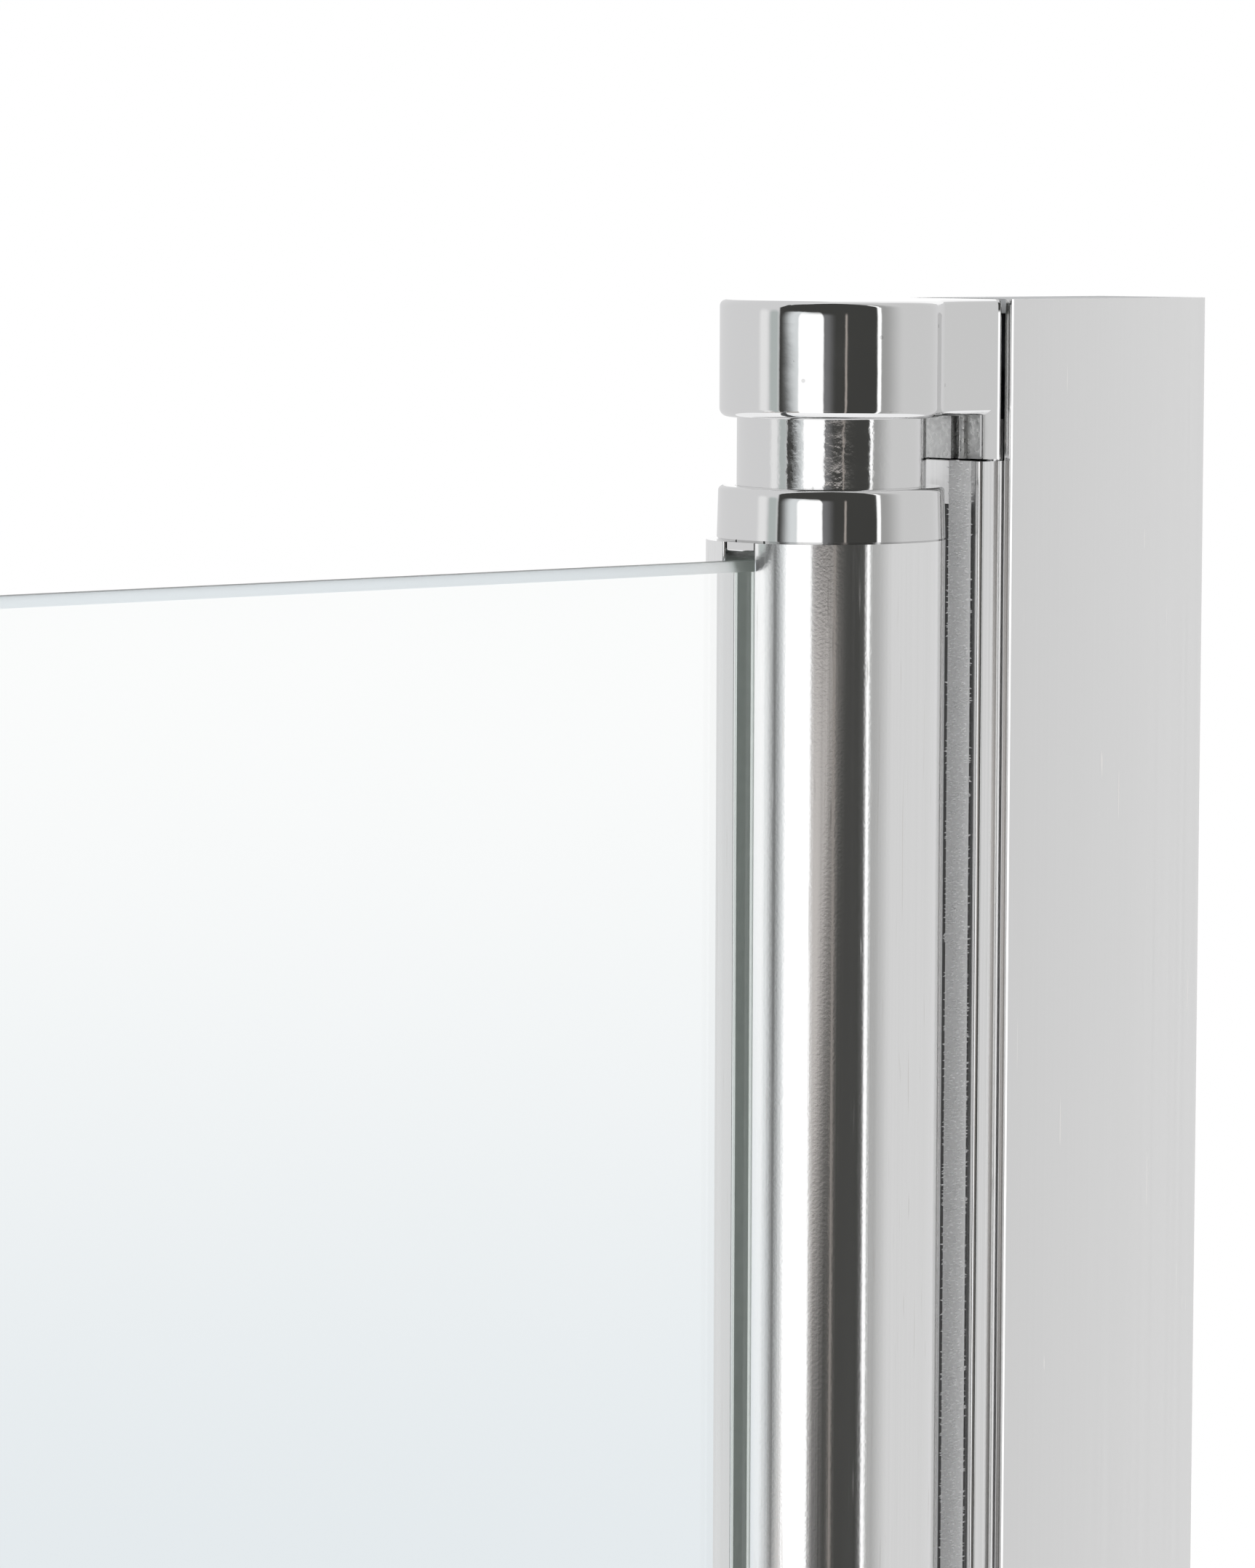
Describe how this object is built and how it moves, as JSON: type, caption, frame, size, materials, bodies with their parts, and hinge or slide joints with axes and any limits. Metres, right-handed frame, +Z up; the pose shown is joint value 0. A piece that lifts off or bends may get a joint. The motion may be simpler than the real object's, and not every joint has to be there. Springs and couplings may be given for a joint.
{
  "type": "bath shower screen",
  "caption": "Bath shower screen: a clear glass leaf clamped in a round hinge column that swings and rises between chrome brackets on an adjustable wall channel.",
  "frame": {"origin": "middle of the wall channel's back face, at its lower end on the bath rim", "axes": "+X points into the wall, +Z up along the channel, -Y is the front that the leaf swings towards"},
  "size_m": [0.8, 0.0314, 1.4],
  "materials": {
    "satin_aluminium": "satin anodised",
    "bright_aluminium": "bright anodised",
    "polished_aluminium": "polished",
    "bright_chrome": "mirror chrome plate",
    "neck_chrome": "chrome plate over a turned surface",
    "spindle_steel": "turned stainless steel",
    "screw_steel": "stainless steel",
    "acetal": "white acetal",
    "grey_plastic": "moulded",
    "cover_plastic": "moulded",
    "clear_glass": "clear float glass",
    "gasket_rubber": "soft translucent",
    "setting_rubber": "hard",
    "clear_seal": "clear soft plastic",
    "pile_fibre": "woven pile"
  },
  "bodies": {
    "wall_rail": {"wall_profile": "satin_aluminium", "top_end_plug": "grey_plastic", "bottom_end_plug": "grey_plastic"},
    "hanger": {"adjusting_profile": "bright_aluminium", "pile_seals": "pile_fibre", "lock_screws": "screw_steel", "lock_screw_covers": "cover_plastic", "top_bracket": "bright_chrome", "bottom_bracket": "bright_chrome", "bracket_screws": "screw_steel", "top_neck": "neck_chrome", "bottom_neck": "neck_chrome", "top_bush": "acetal", "bottom_bush": "acetal", "lift_cam_fixed": "acetal"},
    "rotor": {"top_spindle": "spindle_steel", "bottom_spindle": "spindle_steel"},
    "leaf": {"hinge_tube": "polished_aluminium", "top_cap": "bright_chrome", "bottom_cap": "bright_chrome", "cap_screws": "screw_steel", "lift_cam_moving": "acetal", "glass_panel": "clear_glass", "front_gasket": "gasket_rubber", "rear_gasket": "gasket_rubber", "setting_block": "setting_rubber", "bottom_seal": "clear_seal"}
  },
  "joints": [
    {"name": "width_adjust", "type": "slide", "parent": "wall_rail", "child": "hanger", "axis": [-1, 0, 0], "range_m": [0, 0.015]},
    {"name": "leaf_swing", "type": "hinge", "parent": "hanger", "child": "rotor", "pos_m": [-0.064, 0, 0.7], "axis": [0, 0, 1], "range_deg": [0, 90]},
    {"name": "leaf_lift", "type": "slide", "parent": "rotor", "child": "leaf", "axis": [0, 0, 1], "range_m": [0, 0.005]}
  ],
  "couplings": [
    {"joint": "leaf_lift", "follows": "leaf_swing", "m_per_rad": 0.0031831}
  ]
}
